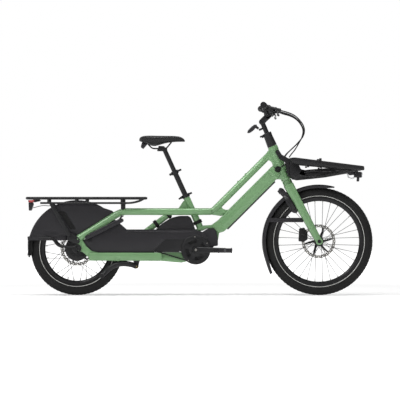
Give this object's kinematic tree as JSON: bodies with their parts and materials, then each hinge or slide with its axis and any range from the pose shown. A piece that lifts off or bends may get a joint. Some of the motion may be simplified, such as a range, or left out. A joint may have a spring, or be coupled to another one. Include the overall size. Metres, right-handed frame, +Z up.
{
  "type": "cargo bicycle",
  "caption": "Longtail electric cargo bicycle with step-through frame, mid motor, enclosed chain, rear rack over a small wheel and a front carrier.",
  "frame": {"origin": "on the ground, midway between the ends of the tyres and rack, in the middle plane", "axes": "+X forward to the front wheel, +Z up, -Y to the chain side"},
  "size_m": [2.0633, 0.7014, 1.14],
  "materials": {
    "frame_paint": "satin",
    "satin_metal": "satin",
    "moulded_plastic": "matte",
    "lens_red": "gloss",
    "tyre_rubber": "matte",
    "rim_alloy": "satin",
    "hub_alloy": "satin",
    "steel": "satin",
    "grip_rubber": "matte",
    "saddle_cover": "matte"
  },
  "bodies": {
    "frame": {"front_triangle": "frame_paint", "seat_tube": "frame_paint", "main_tubes": "frame_paint", "chainstays": "frame_paint", "frame_yoke": "frame_paint", "motor_unit": "moulded_plastic", "frame_box": "moulded_plastic", "chain_case": "moulded_plastic", "chain": "steel", "rear_rack": "satin_metal", "rack_stays": "satin_metal", "rear_fender": "moulded_plastic", "tail_light": "lens_red", "stand_bracket": "satin_metal", "carrier_bracket": "satin_metal", "front_carrier": "satin_metal", "headset_cups": "steel", "rear_caliper": "satin_metal", "rear_axle": "steel", "seat_collar": "satin_metal"},
    "idler": {"chain_idler": "moulded_plastic"},
    "battery": {"battery_pack": "moulded_plastic"},
    "footboard_right": {"right_footboard": "moulded_plastic"},
    "footboard_left": {"left_footboard": "moulded_plastic"},
    "stand": {"centre_stand": "satin_metal"},
    "lamp": {"headlight": "moulded_plastic"},
    "rear_wheel": {"rear_tyre": "tyre_rubber", "rear_rim": "rim_alloy", "rear_spokes": "steel", "rear_hub": "hub_alloy"},
    "sprocket": {"rear_sprocket": "steel"},
    "cranks": {"chainring": "moulded_plastic", "crank_arms": "satin_metal"},
    "pedal_right": {"right_pedal": "moulded_plastic"},
    "pedal_left": {"left_pedal": "moulded_plastic"},
    "fork": {"fork": "frame_paint", "front_fender": "moulded_plastic", "front_caliper": "satin_metal", "front_axle": "steel", "ring_lock": "satin_metal", "steerer_collar": "satin_metal"},
    "lock": {"lock_bolt": "steel"},
    "front_wheel": {"front_tyre": "tyre_rubber", "front_rim": "rim_alloy", "front_spokes": "steel", "front_hub": "hub_alloy"},
    "collar_lever": {"collar_lever": "satin_metal"},
    "bar_post": {"handlebar_post": "satin_metal"},
    "display": {"display": "moulded_plastic"},
    "bars": {"stem": "satin_metal", "handlebar": "satin_metal", "grips": "grip_rubber", "lever_clamps": "satin_metal", "hoses": "grip_rubber"},
    "brake_right": {"right_brake_lever": "satin_metal"},
    "brake_left": {"left_brake_lever": "satin_metal"},
    "seat_lever": {"seat_lever": "satin_metal"},
    "seat_outer": {"outer_post": "satin_metal"},
    "seat_inner": {"inner_post": "satin_metal", "saddle": "saddle_cover"}
  },
  "joints": [
    {"name": "steering", "type": "hinge", "parent": "frame", "child": "fork", "pos_m": [0.518, 0, 0.684], "axis": [-0.3843, 0, 0.9232], "range_deg": [-60, 60], "deforming": ["hoses"]},
    {"name": "front_wheel_spin", "type": "hinge", "parent": "fork", "child": "front_wheel", "pos_m": [0.711, 0, 0.32], "axis": [0, 1, 0], "continuous": true},
    {"name": "rear_wheel_spin", "type": "hinge", "parent": "frame", "child": "rear_wheel", "pos_m": [-0.727, 0, 0.275], "axis": [0, 1, 0], "continuous": true},
    {"name": "crank_spin", "type": "hinge", "parent": "frame", "child": "cranks", "pos_m": [-0.021, 0, 0.271], "axis": [0, 1, 0], "continuous": true},
    {"name": "sprocket_spin", "type": "hinge", "parent": "frame", "child": "sprocket", "pos_m": [-0.727, 0, 0.275], "axis": [0, 1, 0], "continuous": true},
    {"name": "idler_spin", "type": "hinge", "parent": "frame", "child": "idler", "pos_m": [-0.287, 0, 0.2494], "axis": [0, 1, 0], "continuous": true},
    {"name": "right_pedal_spin", "type": "hinge", "parent": "cranks", "child": "pedal_right", "pos_m": [0.151, 0, 0.268], "axis": [0, 1, 0], "continuous": true},
    {"name": "left_pedal_spin", "type": "hinge", "parent": "cranks", "child": "pedal_left", "pos_m": [-0.193, 0, 0.274], "axis": [0, 1, 0], "continuous": true},
    {"name": "stand_fold", "type": "hinge", "parent": "frame", "child": "stand", "pos_m": [-0.378, 0, 0.174], "axis": [0, -1, 0], "range_deg": [0, 107]},
    {"name": "right_footboard_fold", "type": "hinge", "parent": "frame", "child": "footboard_right", "pos_m": [-0.665, -0.103, 0.332], "axis": [0.8944, 0, 0.4472], "range_deg": [0, 85]},
    {"name": "left_footboard_fold", "type": "hinge", "parent": "frame", "child": "footboard_left", "pos_m": [-0.665, 0.103, 0.332], "axis": [-0.8944, 0, -0.4472], "range_deg": [0, 85]},
    {"name": "battery_slide", "type": "slide", "parent": "frame", "child": "battery", "axis": [0.7071, 0, -0.7071], "range_m": [0, 0.03]},
    {"name": "headlight_tilt", "type": "hinge", "parent": "frame", "child": "lamp", "pos_m": [0.935, 0, 0.728], "axis": [0, 1, 0], "range_deg": [-8, 12]},
    {"name": "lock_turn", "type": "hinge", "parent": "fork", "child": "lock", "pos_m": [0.53851, 0, 0.54688], "axis": [-0.7961, 0, -0.6052], "range_deg": [0, 50]},
    {"name": "collar_lever_swing", "type": "hinge", "parent": "fork", "child": "collar_lever", "pos_m": [0.36886, -0.008, 0.93821], "axis": [-0.3843, 0, 0.9232], "range_deg": [0, 100]},
    {"name": "bar_post_slide", "type": "slide", "parent": "fork", "child": "bar_post", "axis": [-0.3843, 0, 0.9232], "range_m": [-0.02, 0.08]},
    {"name": "stem_tilt", "type": "hinge", "parent": "bar_post", "child": "bars", "pos_m": [0.373, 0, 1.031], "axis": [0, 1, 0], "range_deg": [-25, 20]},
    {"name": "display_tilt", "type": "hinge", "parent": "bar_post", "child": "display", "pos_m": [0.351, 0, 0.996], "axis": [0, 1, 0], "range_deg": [-15, 15]},
    {"name": "right_brake_squeeze", "type": "hinge", "parent": "bars", "child": "brake_right", "pos_m": [0.445, -0.188, 1.082], "axis": [-0.6, 0, -0.8], "range_deg": [0, 18], "stiffness_Nm_per_rad": 1.2},
    {"name": "left_brake_squeeze", "type": "hinge", "parent": "bars", "child": "brake_left", "pos_m": [0.445, 0.188, 1.082], "axis": [0.6, 0, 0.8], "range_deg": [0, 18], "stiffness_Nm_per_rad": 1.2},
    {"name": "seat_lever_swing", "type": "hinge", "parent": "frame", "child": "seat_lever", "pos_m": [-0.11579, -0.008, 0.56926], "axis": [-0.4163, 0, 0.9092], "range_deg": [0, 100]},
    {"name": "outer_post_slide", "type": "slide", "parent": "frame", "child": "seat_outer", "axis": [-0.4163, 0, 0.9092], "range_m": [-0.09, 0.02]},
    {"name": "inner_post_slide", "type": "slide", "parent": "seat_outer", "child": "seat_inner", "axis": [-0.4163, 0, 0.9092], "range_m": [-0.09, 0.02]}
  ],
  "couplings": [
    {"joint": "sprocket_spin", "follows": "crank_spin", "ratio": 1.7273},
    {"joint": "idler_spin", "follows": "crank_spin", "ratio": -3.6617}
  ]
}
